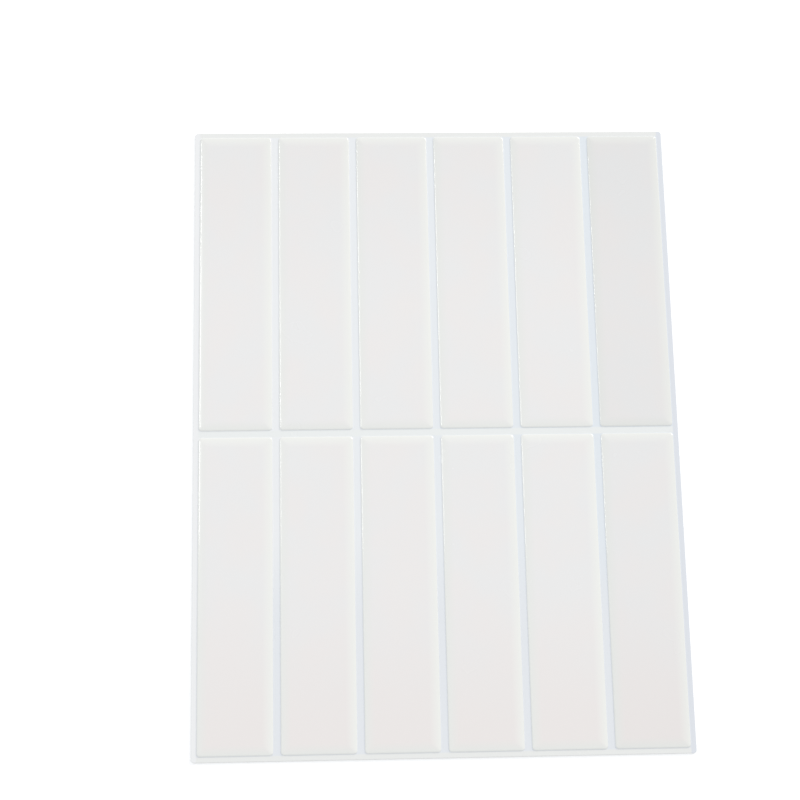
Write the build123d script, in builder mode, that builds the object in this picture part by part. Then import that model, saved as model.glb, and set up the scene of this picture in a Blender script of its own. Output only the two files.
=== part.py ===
from build123d import *
import math
import os

# Peel and stick backsplash sheet: a stacked bond of upright bricks moulded in one piece
# with the joints between them, on the paper that covers its adhesive until it is fitted.
# Sizes are in millimetres. The sheet lies face up with its length along Y, and the origin
# is at the middle of its underside.

# Brick pattern, seen from the front: the bricks are measured at their foot, in the joints
columns = 6
rows = 2
brick_width = 35.2
brick_length = 148.4
brick_corner_radius = 1.6
joint_width = 3.2
border_width = 2.5

# Section of the moulded sheet: the joints' thickness, then the brick above the joints
joint_thickness = 0.9
side_height = 0.42
side_draft = 40.0
rim_radius = 0.8

# Pillow of each brick: its face rises from the rim along a parabola, then runs flat
pillow_width = 4.6
pillow_rise = 0.53
pillow_steps = 2

# Cut edge of the sheet
sheet_corner_radius = 1.5
cut_edge_radius = 0.25

# Paper that is peeled off the adhesive back
liner_thickness = 0.15

column_pitch = brick_width + joint_width
row_pitch = brick_length + joint_width
sheet_width = columns * column_pitch - joint_width + 2 * border_width
sheet_length = rows * row_pitch - joint_width + 2 * border_width
sheet_back = liner_thickness
joint_level = sheet_back + joint_thickness
rim_level = joint_level + side_height
side_lean = side_height * math.tan(math.radians(side_draft))

os.makedirs("parts", exist_ok=True)

# Release liner: one flat leaf of coated paper, cut flush with the sheet above it
with BuildPart() as release_liner:
    with BuildSketch():
        RectangleRounded(sheet_width, sheet_length, sheet_corner_radius)
    extrude(amount=liner_thickness)

# One brick: sides that slope in like a cushion edge, a rolled rim, and a face that rises
# gently from the rim all round, like a glazed tile
with BuildPart() as brick:
    with BuildSketch(Plane.XY.offset(joint_level)):
        RectangleRounded(brick_width, brick_length, brick_corner_radius)
    extrude(amount=side_height, taper=side_draft)
    for step in range(pillow_steps + 1):
        way_in = step / pillow_steps
        inset = side_lean + pillow_width * way_in
        level = rim_level + pillow_rise * (1 - (1 - way_in) ** 2)
        with BuildSketch(Plane.XY.offset(level)):
            RectangleRounded(
                brick_width - 2 * inset,
                brick_length - 2 * inset,
                brick_corner_radius - side_lean,
            )
    loft()
    fillet(brick.edges().filter_by_position(Axis.Z, rim_level, rim_level), rim_radius)

# Moulded face: the joint field and its border, with every brick grown out of it, and a
# rounded top edge along the cut
with BuildPart() as tile_sheet:
    with BuildSketch(Plane.XY.offset(sheet_back)):
        RectangleRounded(sheet_width, sheet_length, sheet_corner_radius)
    extrude(amount=joint_thickness)
    with GridLocations(column_pitch, row_pitch, columns, rows):
        add(brick.part)
    joint_face = tile_sheet.faces().filter_by_position(Axis.Z, joint_level, joint_level)[0]
    fillet(joint_face.outer_wire().edges(), cut_edge_radius)

release_liner.part.label = "release_liner"
tile_sheet.part.label = "tile_sheet"
export_step(release_liner.part, "parts/release_liner.step")
export_step(tile_sheet.part, "parts/tile_sheet.step")
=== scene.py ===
import math

import bmesh
import bpy
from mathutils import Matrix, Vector


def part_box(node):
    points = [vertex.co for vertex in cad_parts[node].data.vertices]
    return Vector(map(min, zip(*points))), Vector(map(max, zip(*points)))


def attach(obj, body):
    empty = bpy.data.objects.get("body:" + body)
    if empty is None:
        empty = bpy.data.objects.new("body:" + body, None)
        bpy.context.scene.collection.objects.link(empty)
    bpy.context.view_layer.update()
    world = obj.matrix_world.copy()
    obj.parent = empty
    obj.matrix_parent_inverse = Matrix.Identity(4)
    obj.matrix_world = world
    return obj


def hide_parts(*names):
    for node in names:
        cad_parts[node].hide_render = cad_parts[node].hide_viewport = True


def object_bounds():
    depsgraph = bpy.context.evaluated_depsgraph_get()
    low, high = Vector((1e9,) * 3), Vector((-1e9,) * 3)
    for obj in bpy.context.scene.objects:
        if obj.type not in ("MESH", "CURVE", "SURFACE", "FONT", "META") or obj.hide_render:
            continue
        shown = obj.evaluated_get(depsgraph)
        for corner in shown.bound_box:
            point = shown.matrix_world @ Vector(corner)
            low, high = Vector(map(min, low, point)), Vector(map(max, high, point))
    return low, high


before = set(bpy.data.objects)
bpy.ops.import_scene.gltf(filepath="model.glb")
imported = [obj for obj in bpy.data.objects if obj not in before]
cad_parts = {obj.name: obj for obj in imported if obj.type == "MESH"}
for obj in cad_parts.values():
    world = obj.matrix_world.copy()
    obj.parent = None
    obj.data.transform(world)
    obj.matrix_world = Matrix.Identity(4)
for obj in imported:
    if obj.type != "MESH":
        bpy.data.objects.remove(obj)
cad_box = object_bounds()


# Release liner: the leaf of paper that covers the adhesive until the tile is stuck up.
# It is bleached kraft with a silicone coat on the side that meets the adhesive, cut flush
# with the sheet, so only its edge and its plain outer side can be seen.
PAPER = (0.80, 0.79, 0.76, 1)
PAPER_CLOUDED = (0.74, 0.725, 0.69, 1)
PAPER_CLOUDS_PER_METRE = 110
PAPER_ROUGHNESS = (0.55, 0.7)
FIBRES_PER_METRE = 2600
FIBRE_DETAIL = 3
FIBRE_STRETCH = (1, 0.35, 1)
FIBRE_DEPTH = 0.00001
CLOUD_DETAIL = 3
UNSTRETCHED = (1, 1, 1)
# Noise keeps near its middle, so a part of its range is spread over the whole effect
CLOUD_RANGE = (0.35, 0.65)
ROUGHNESS_RANGE = (0.3, 0.7)
# Numbers of the sockets of a Mix node that is set to mix colours
MIX_SHARE = 0
MIX_FIRST = 6
MIX_SECOND = 7
MIX_RESULT = 2


def new_material(name):
    """A new node material: the material, its tree and its Principled shader."""
    material = bpy.data.materials.new(name)
    material.use_nodes = True
    tree = material.node_tree
    return material, tree, tree.nodes["Principled BSDF"]


def set_sockets(tree, sockets, values):
    """Gives each named or numbered socket a plain value, or links an output of the tree."""
    for key, value in values.items():
        if isinstance(value, bpy.types.NodeSocket):
            tree.links.new(value, sockets[key])
        else:
            sockets[key].default_value = value


def remap(tree, value, from_range, to_range, smooth=False):
    """Maps one range of a value to another, held at the ends."""
    node = tree.nodes.new("ShaderNodeMapRange")
    node.interpolation_type = "SMOOTHSTEP" if smooth else "LINEAR"
    set_sockets(tree, node.inputs, {
        "Value": value, "From Min": from_range[0], "From Max": from_range[1],
        "To Min": to_range[0], "To Max": to_range[1],
    })
    return node.outputs["Result"]


def blend_colours(tree, share, first, second, mode="MIX"):
    """Mixes two colours, each a plain one or an output of the tree."""
    node = tree.nodes.new("ShaderNodeMix")
    node.data_type = "RGBA"
    node.blend_type = mode
    set_sockets(tree, node.inputs, {MIX_SHARE: share, MIX_FIRST: first, MIX_SECOND: second})
    return node.outputs[MIX_RESULT]


def relief(tree, height, depth):
    """A bump of the given depth in metres."""
    node = tree.nodes.new("ShaderNodeBump")
    set_sockets(tree, node.inputs, {"Height": height, "Distance": depth})
    return node.outputs["Normal"]


def new_group(name, inputs, outputs):
    """An empty node group: its tree, its input node and its output node."""
    group = bpy.data.node_groups.new(name, "ShaderNodeTree")
    for way, sockets in (("INPUT", inputs), ("OUTPUT", outputs)):
        for label, kind in sockets.items():
            group.interface.new_socket(name=label, in_out=way, socket_type=kind)
    return group, group.nodes.new("NodeGroupInput"), group.nodes.new("NodeGroupOutput")


def place_group(tree, group, values):
    """Places a node group in a tree, with its inputs set, and gives its outputs."""
    node = tree.nodes.new("ShaderNodeGroup")
    node.node_tree = group
    set_sockets(tree, node.inputs, values)
    return node.outputs


# Grain: noise that is fixed to the piece, with its size in grains to the metre
grain, given, result = new_group(
    "grain",
    {
        "Place": "NodeSocketVector", "Grains per Metre": "NodeSocketFloat",
        "Detail": "NodeSocketFloat", "Stretch": "NodeSocketVector",
    },
    {"Height": "NodeSocketFloat"},
)
stretched = grain.nodes.new("ShaderNodeMapping")
set_sockets(grain, stretched.inputs, {
    "Vector": given.outputs["Place"], "Scale": given.outputs["Stretch"],
})
grains = grain.nodes.new("ShaderNodeTexNoise")
set_sockets(grain, grains.inputs, {
    "Vector": stretched.outputs["Vector"], "Scale": given.outputs["Grains per Metre"],
    "Detail": given.outputs["Detail"],
})
grain.links.new(grains.outputs["Fac"], result.inputs["Height"])

# Clouding: two near colours that run into each other, and the clouds that they follow
clouding, given, result = new_group(
    "clouding",
    {
        "Place": "NodeSocketVector", "Clouds per Metre": "NodeSocketFloat",
        "First Colour": "NodeSocketColor", "Second Colour": "NodeSocketColor",
    },
    {"Colour": "NodeSocketColor", "Clouds": "NodeSocketFloat"},
)
clouds = place_group(clouding, grain, {
    "Place": given.outputs["Place"], "Grains per Metre": given.outputs["Clouds per Metre"],
    "Detail": CLOUD_DETAIL, "Stretch": UNSTRETCHED,
})["Height"]
cloud_share = remap(clouding, clouds, CLOUD_RANGE, (0, 1), smooth=True)
clouded = blend_colours(
    clouding, cloud_share, given.outputs["First Colour"], given.outputs["Second Colour"]
)
set_sockets(clouding, result.inputs, {"Colour": clouded, "Clouds": clouds})

liner_paper, tree, shader = new_material("liner_paper")
place = tree.nodes.new("ShaderNodeTexCoord").outputs["Object"]
paper_colour = place_group(tree, clouding, {
    "Place": place, "Clouds per Metre": PAPER_CLOUDS_PER_METRE,
    "First Colour": PAPER, "Second Colour": PAPER_CLOUDED,
})["Colour"]
fibres = place_group(tree, grain, {
    "Place": place, "Grains per Metre": FIBRES_PER_METRE,
    "Detail": FIBRE_DETAIL, "Stretch": FIBRE_STRETCH,
})["Height"]
set_sockets(tree, shader.inputs, {
    "Base Color": paper_colour,
    "Roughness": remap(tree, fibres, ROUGHNESS_RANGE, PAPER_ROUGHNESS),
    "Normal": relief(tree, fibres, FIBRE_DEPTH),
})
release_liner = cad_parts["release_liner"]
release_liner.data.materials.clear()
release_liner.data.materials.append(liner_paper)


# Moulded sheet: one piece of white gel plastic, cast in a mould as twelve cushion-edged
# bricks with the bluish joints between and round them, then cut to size. A brick is
# measured over its foot, where its side meets the joint.
COLUMNS = 6
ROWS = 2
BRICK_WIDTH = 0.0352
BRICK_LENGTH = 0.1484
BRICK_CORNER_RADIUS = 0.0016
JOINT_WIDTH = 0.0032
JOINT_THICKNESS = 0.0009
FOOT_RADIUS = 0.00025
FOOT_STEPS = 4
SIDE_SLOPE = math.radians(50)
RIM_OUTER_RADIUS = 0.0006
RIM_OUTER_STEPS = 4
RIM_SLOPE = math.radians(24)
RIM_INNER_RADIUS = 0.002
RIM_INNER_STEPS = 5
PILLOW_WIDTH = 0.0042
PILLOW_RISE = 0.00044
PILLOW_POWER = 2
PILLOW_STEPS = 10
SHEET_CORNER_RADIUS = 0.0015
CORNER_SEGMENTS = 10
CUT_EDGE_RADIUS = 0.00025
CUT_EDGE_STEPS = 4
# A narrow flat ring beside each round keeps the flat beyond it evenly lit
FLAT_RING = 0.0001
SHARP_EDGE = math.radians(60)

sheet_low, sheet_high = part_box("tile_sheet")
sheet_size = sheet_high - sheet_low
joint_level = sheet_low.z + JOINT_THICKNESS
column_pitch = BRICK_WIDTH + JOINT_WIDTH
row_pitch = BRICK_LENGTH + JOINT_WIDTH
pillow_slope = math.atan(PILLOW_POWER * PILLOW_RISE / PILLOW_WIDTH)


def rounded_face(bm, width, length, radius, centre):
    """A flat face with rounded corners."""
    corners = bmesh.ops.create_grid(bm, x_segments=1, y_segments=1, size=0.5)["verts"]
    bmesh.ops.scale(bm, vec=(width, length, 1), verts=corners)
    bmesh.ops.translate(bm, vec=centre, verts=corners)
    outline = bmesh.ops.bevel(
        bm, geom=corners, offset=radius, offset_type="OFFSET", segments=CORNER_SEGMENTS,
        profile=0.5, affect="VERTICES", material=-1,
    )["verts"]
    return outline[0].link_faces[0]


def draw_in(bm, face, steps):
    """Steps a face inwards and upwards, and leaves a ring of the moulding at each step."""
    for inwards, upwards in steps:
        bmesh.ops.inset_individual(
            bm, faces=[face], thickness=inwards, depth=upwards, use_even_offset=True
        )


def round_steps(radius, from_slope, to_slope, count):
    """Steps inwards and upwards along a round, hollow or full, from one slope to another."""
    turns = [from_slope + (to_slope - from_slope) * step / count for step in range(count + 1)]
    return [
        (radius * abs(math.sin(b) - math.sin(a)), radius * abs(math.cos(a) - math.cos(b)))
        for a, b in zip(turns, turns[1:])
    ]


def raise_brick(bm, x, y):
    """One brick, from its foot in the joint to its crown."""
    spread = FOOT_RADIUS * math.tan(SIDE_SLOPE / 2) + FLAT_RING
    face = rounded_face(
        bm, BRICK_WIDTH + 2 * spread, BRICK_LENGTH + 2 * spread,
        BRICK_CORNER_RADIUS + spread, (x, y, joint_level),
    )
    foot = round_steps(FOOT_RADIUS, 0, SIDE_SLOPE, FOOT_STEPS)
    rim = round_steps(RIM_OUTER_RADIUS, SIDE_SLOPE, RIM_SLOPE, RIM_OUTER_STEPS)
    rim += round_steps(RIM_INNER_RADIUS, RIM_SLOPE, pillow_slope, RIM_INNER_STEPS)
    # The straight side takes up the height that the rounds and the pillow leave
    side_height = sheet_high.z - joint_level - PILLOW_RISE
    side_height -= sum(upwards for inwards, upwards in foot + rim)
    side = (side_height / math.tan(SIDE_SLOPE), side_height)
    draw_in(bm, face, [(FLAT_RING, 0)] + foot + [side] + rim)
    # Past the rim the corners keep their radius: each quarter of the outline moves in
    # as it is, up a curve that runs flat at the crown
    heights = [
        PILLOW_RISE * (1 - (1 - step / PILLOW_STEPS) ** PILLOW_POWER)
        for step in range(PILLOW_STEPS + 1)
    ]
    pillow = [
        (PILLOW_WIDTH / PILLOW_STEPS, higher - lower)
        for lower, higher in zip(heights, heights[1:])
    ]
    for inwards, upwards in pillow + [(FLAT_RING, 0)]:
        face = bmesh.ops.extrude_discrete_faces(bm, faces=[face])["faces"][0]
        for way_x in (-1, 1):
            for way_y in (-1, 1):
                quarter = [
                    v for v in face.verts
                    if (v.co.x - x) * way_x > 0 and (v.co.y - y) * way_y > 0
                ]
                shift = (-way_x * inwards, -way_y * inwards, upwards)
                bmesh.ops.translate(bm, vec=shift, verts=quarter)


def finished_mesh(bm, name):
    """The mesh of a shape that is complete."""
    mesh = bpy.data.meshes.new(name)
    bm.to_mesh(mesh)
    bm.free()
    return mesh


def add_object(name, data):
    """Puts an object with the given mesh, lamp or camera in the scene."""
    added = bpy.data.objects.new(name, data)
    bpy.context.scene.collection.objects.link(added)
    return added


bm = bmesh.new()
back = rounded_face(
    bm, sheet_size.x, sheet_size.y, SHEET_CORNER_RADIUS, (0, 0, sheet_low.z)
)
top = bmesh.ops.extrude_face_region(bm, geom=[back], use_keep_orig=True)["geom"]
top_verts = [item for item in top if isinstance(item, bmesh.types.BMVert)]
top_face = next(item for item in top if isinstance(item, bmesh.types.BMFace))
bmesh.ops.translate(bm, vec=(0, 0, JOINT_THICKNESS - CUT_EDGE_RADIUS), verts=top_verts)
cut_edge = round_steps(CUT_EDGE_RADIUS, math.pi / 2, 0, CUT_EDGE_STEPS)
draw_in(bm, top_face, cut_edge + [(FLAT_RING, 0)])
bmesh.ops.delete(bm, geom=[top_face], context="FACES_ONLY")
for column in range(COLUMNS):
    for row in range(ROWS):
        raise_brick(
            bm,
            (column - (COLUMNS - 1) / 2) * column_pitch,
            (row - (ROWS - 1) / 2) * row_pitch,
        )
# The joint field fills what is open between the cut edge and the feet of the bricks
openings = [edge for edge in bm.edges if edge.is_boundary]
bmesh.ops.triangle_fill(bm, edges=openings, use_beauty=True)
bmesh.ops.recalc_face_normals(bm, faces=bm.faces)
for face in bm.faces:
    face.smooth = True
for edge in bm.edges:
    edge.smooth = edge.calc_face_angle() < SHARP_EDGE
sheet_mesh = finished_mesh(bm, "moulded_sheet")
moulded_sheet = add_object("moulded_sheet", sheet_mesh)

# Gel plastic: glossy and white on the bricks, a bluish white in the joints, with the
# slight unevenness of a cast face
FACE_WARM = (0.848, 0.824, 0.814, 1)
FACE_COOL = (0.832, 0.829, 0.827, 1)
FACE_CLOUDS_PER_METRE = 35
# Painted warm light: the lower end of the sheet is tinted pinker
FACE_LOWER_PAINTED_LIGHT = (0.838, 0.797, 0.781, 1)
PAINTED_LIGHT_LOWER_FROM = -0.06
FACE_ROUGHNESS = (0.2, 0.28)
BAND_COLOUR = (0.843, 0.852, 0.822, 1)
BRICK_TONES = (0.95, 1.0)
BRICK_NUMBERS_TONED = (0, 0.4)
BRICK_SEED = 47484
# Painted shade: the bricks are toned down towards the upper end
UPPER_PAINTED_SHADE = 0.968
UPPER_PAINTED_SHADE_FROM = 0.055
JOINT_COLOUR_LEFT = (0.868, 0.876, 0.884, 1)
# Painted shade: the joints darken and turn bluer towards the right
JOINT_COLOUR_RIGHT_SHADED = (0.757, 0.811, 0.862, 1)
JOINT_COLOUR_LOWER = (0.788, 0.814, 0.848, 1)
JOINT_COLOUR_MIDDLE = (0.840, 0.862, 0.858, 1)
JOINT_LOWER_FROM = -0.045
JOINT_LOWER_TO = -0.09
BORDER_COLOUR_LEFT = JOINT_COLOUR_LEFT
# Painted shade: the border is greyer at the right
BORDER_COLOUR_RIGHT_SHADED = (0.746, 0.774, 0.822, 1)
BORDER_COLOUR_ENDS = (0.830, 0.838, 0.824, 1)
JOINT_BLEND = 0.0004
JOINT_COLOUR_TOP = 0.0001
BRICK_COLOUR_BOTTOM = 0.0003
GEL_IOR = 1.5
COAT_ROUGHNESS = 0.06
PEEL_PER_METRE = 700
PEEL_DETAIL = 2
PEEL_DEPTH = 0.000001


def vector_step(tree, operation, vector, second=(0, 0, 0)):
    """One step of arithmetic on a vector, with a second one where the step takes two."""
    node = tree.nodes.new("ShaderNodeVectorMath")
    node.operation = operation
    set_sockets(tree, node.inputs, {0: vector, 1: second})
    return node.outputs["Vector"]


def axes(tree, vector):
    """The X, Y and Z of a vector."""
    node = tree.nodes.new("ShaderNodeSeparateXYZ")
    tree.links.new(vector, node.inputs["Vector"])
    return node.outputs


gel_plastic, tree, shader = new_material("gel_plastic")
place = tree.nodes.new("ShaderNodeTexCoord").outputs["Object"]
at = axes(tree, place)
from_middle = axes(tree, vector_step(tree, "ABSOLUTE", place))
clouded_face = place_group(tree, clouding, {
    "Place": place, "Clouds per Metre": FACE_CLOUDS_PER_METRE,
    "First Colour": FACE_WARM, "Second Colour": FACE_COOL,
})
# Painted warm light: the lower end of the sheet is a little pinker
painted_light_share = remap(tree, at["Y"], (PAINTED_LIGHT_LOWER_FROM, sheet_low.y), (0, 1), smooth=True)
face_colour = blend_colours(tree, painted_light_share, clouded_face["Colour"], FACE_LOWER_PAINTED_LIGHT)
# The band's tint goes with the slope of the pillow, and so runs out at the crown
depth = remap(tree, at["Z"], (sheet_high.z - PILLOW_RISE, sheet_high.z), (1, 0))
band_share = tree.nodes.new("ShaderNodeMath")
band_share.operation = "POWER"
set_sockets(tree, band_share.inputs, {0: depth, 1: (PILLOW_POWER - 1) / PILLOW_POWER})
brick_colour = blend_colours(tree, band_share.outputs[0], face_colour, BAND_COLOUR)
# Each brick has its own number, from the column and row that it stands in, and those with
# a low number are a shade greyer
column_and_row = vector_step(tree, "DIVIDE", place, second=(column_pitch, row_pitch, 1))
brick_number = tree.nodes.new("ShaderNodeTexWhiteNoise")
brick_number.noise_dimensions = "4D"
set_sockets(tree, brick_number.inputs, {
    "Vector": vector_step(tree, "FLOOR", column_and_row), "W": BRICK_SEED,
})
brick_tone = remap(tree, brick_number.outputs["Value"], BRICK_NUMBERS_TONED, BRICK_TONES)
brick_colour = blend_colours(tree, 1, brick_colour, brick_tone, mode="MULTIPLY")
# Painted shade: towards the upper end of the sheet all bricks are a shade deeper
upper_painted_shade = remap(
    tree, at["Y"], (UPPER_PAINTED_SHADE_FROM, sheet_high.y), (1, UPPER_PAINTED_SHADE), smooth=True
)
brick_colour = blend_colours(tree, 1, brick_colour, upper_painted_shade, mode="MULTIPLY")
# The joints are whiter at the left and darker and bluer at the right, which is painted shade,
# and greyer at the lower end
right_shade_share = remap(tree, at["X"], (sheet_low.x, sheet_high.x), (0, 1))
joint_colour = blend_colours(tree, right_shade_share, JOINT_COLOUR_LEFT, JOINT_COLOUR_RIGHT_SHADED)
grey_share = remap(tree, at["Y"], (JOINT_LOWER_FROM, JOINT_LOWER_TO), (0, 1), smooth=True)
joint_colour = blend_colours(tree, grey_share, joint_colour, JOINT_COLOUR_LOWER)
# The joint that runs across the middle is whiter than the others
middle_share = remap(
    tree, from_middle["Y"],
    (JOINT_WIDTH / 2 - JOINT_BLEND, JOINT_WIDTH / 2 + JOINT_BLEND), (1, 0), smooth=True,
)
joint_colour = blend_colours(tree, middle_share, joint_colour, JOINT_COLOUR_MIDDLE)
# The border outside the bricks is white at the left and greyer at the right, which is painted
# shade, and hardly blue at its two ends
shaded_side_colour = blend_colours(tree, right_shade_share, BORDER_COLOUR_LEFT, BORDER_COLOUR_RIGHT_SHADED)
for axis, colour, bricks_end in (
    ("Y", BORDER_COLOUR_ENDS, (ROWS * row_pitch - JOINT_WIDTH) / 2),
    ("X", shaded_side_colour, (COLUMNS * column_pitch - JOINT_WIDTH) / 2),
):
    border_share = remap(
        tree, from_middle[axis],
        (bricks_end - JOINT_BLEND, bricks_end + JOINT_BLEND), (0, 1), smooth=True,
    )
    joint_colour = blend_colours(tree, border_share, joint_colour, colour)
# The colours of joints and border end on the foot of each brick
brick_share = remap(
    tree, at["Z"],
    (joint_level + JOINT_COLOUR_TOP, joint_level + BRICK_COLOUR_BOTTOM), (0, 1), smooth=True,
)
peel = place_group(tree, grain, {
    "Place": place, "Grains per Metre": PEEL_PER_METRE,
    "Detail": PEEL_DETAIL, "Stretch": UNSTRETCHED,
})["Height"]
# Only the bricks have the glossy skin: the joints and the cut edge are satin
set_sockets(tree, shader.inputs, {
    "Base Color": blend_colours(tree, brick_share, joint_colour, brick_colour),
    "Roughness": remap(tree, clouded_face["Clouds"], ROUGHNESS_RANGE, FACE_ROUGHNESS),
    "Normal": relief(tree, peel, PEEL_DEPTH),
    "IOR": GEL_IOR,
    "Coat Weight": brick_share,
    "Coat Roughness": COAT_ROUGHNESS,
})
sheet_mesh.materials.append(gel_plastic)

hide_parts("tile_sheet")
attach(moulded_sheet, "root")


# Studio: a wide pale floor that shows pure white to the camera, under a soft even sky,
# with one large warm lamp low at the upper right and a small white one high at the upper left.
# The floor is open just under the sheet and see-through from beneath, to show the back.
FLOOR_SIZE = 12
FLOOR_LAP = 0.0003
FLOOR_GAP = 0.00002
FLOOR_COLOUR = (0.9, 0.9, 0.9, 1)
FLOOR_GLOW_COLOUR = (1, 1, 1, 1)
FLOOR_GLOW = 0.25
SKY_COLOUR = (0.96, 0.978, 1.0, 1)
SKY_LEVEL = 0.76


def seen_rays(tree):
    """1 for rays that the camera, a mirror or glass sees the surroundings by, or else 0."""
    light_path = tree.nodes.new("ShaderNodeLightPath")
    seen = light_path.outputs["Is Camera Ray"]
    for kind in ("Is Glossy Ray", "Is Transmission Ray"):
        either = tree.nodes.new("ShaderNodeMath")
        either.operation = "MAXIMUM"
        set_sockets(tree, either.inputs, {0: seen, 1: light_path.outputs[kind]})
        seen = either.outputs[0]
    return seen


bm = bmesh.new()
bmesh.ops.create_grid(bm, x_segments=1, y_segments=1, size=FLOOR_SIZE / 2)
rounded_face(
    bm, sheet_size.x - 2 * FLOOR_LAP, sheet_size.y - 2 * FLOOR_LAP,
    SHEET_CORNER_RADIUS, (0, 0, 0),
)
bmesh.ops.delete(bm, geom=bm.faces[:], context="FACES_ONLY")
bmesh.ops.triangle_fill(bm, edges=bm.edges[:], use_beauty=True, normal=(0, 0, 1))
bmesh.ops.translate(bm, vec=(0, 0, cad_box[0].z - FLOOR_GAP), verts=bm.verts)
floor_mesh = finished_mesh(bm, "floor")
floor = add_object("floor", floor_mesh)
floor_white, tree, shader = new_material("floor_white")
set_sockets(tree, shader.inputs, {
    "Base Color": FLOOR_COLOUR,
    "Roughness": 1,
    "Specular IOR Level": 0,
    "Emission Color": FLOOR_GLOW_COLOUR,
    "Emission Strength": remap(tree, seen_rays(tree), (0, 1), (0, FLOOR_GLOW)),
})
one_sided = tree.nodes.new("ShaderNodeMixShader")
set_sockets(tree, one_sided.inputs, {
    0: tree.nodes.new("ShaderNodeNewGeometry").outputs["Backfacing"],
    1: shader.outputs["BSDF"],
    2: tree.nodes.new("ShaderNodeBsdfTransparent").outputs["BSDF"],
})
tree.links.new(one_sided.outputs["Shader"], tree.nodes["Material Output"].inputs["Surface"])
floor_mesh.materials.append(floor_white)

world = bpy.data.worlds.new("studio")
world.use_nodes = True
tree = world.node_tree
set_sockets(tree, tree.nodes["Background"].inputs, {
    "Color": SKY_COLOUR,
    "Strength": remap(tree, seen_rays(tree), (0, 1), (SKY_LEVEL, 1)),
})
bpy.context.scene.world = world


def area_lamp(name, aim, azimuth, elevation, distance, size, watts, colour):
    """A rectangular lamp that faces a point of the floor, azimuth from +X to +Y."""
    lamp_data = bpy.data.lights.new(name, "AREA")
    lamp_data.shape = "RECTANGLE"
    lamp_data.size, lamp_data.size_y = size
    lamp_data.energy = watts
    lamp_data.color = colour
    lamp = add_object(name, lamp_data)
    way = Vector((
        math.cos(math.radians(elevation)) * math.cos(math.radians(azimuth)),
        math.cos(math.radians(elevation)) * math.sin(math.radians(azimuth)),
        math.sin(math.radians(elevation)),
    ))
    lamp.location = Vector(aim) + way * distance
    lamp.rotation_euler = way.to_track_quat("Z", "Y").to_euler()


area_lamp("key", aim=(0, 0, 0), azimuth=47, elevation=27, distance=8, size=(4.2, 3.2),
          watts=272, colour=(1.0, 0.95, 0.88))
# The small lamp lies along the left edges of the bricks, and draws a white line on them
area_lamp("rim_lamp", aim=(0, 0.9, 0), azimuth=180, elevation=56, distance=3,
          size=(1.0, 0.52), watts=10, colour=(1.0, 1.0, 1.0))

# Camera: above the sheet and a little to its lower left, as the photograph looks on it
CAMERA_LENS = 76.5
CAMERA_SENSOR = 36
CAMERA_PLACE = (-0.0514, -0.168, 0.7943)
CAMERA_TURN = (13.09, -2.19, -1.16)

camera_data = bpy.data.cameras.new("camera")
camera_data.lens = CAMERA_LENS
camera_data.sensor_width = CAMERA_SENSOR
camera = add_object("camera", camera_data)
camera.location = CAMERA_PLACE
camera.rotation_euler = [math.radians(turn) for turn in CAMERA_TURN]
bpy.context.scene.camera = camera
bpy.context.scene.view_settings.view_transform = "Standard"
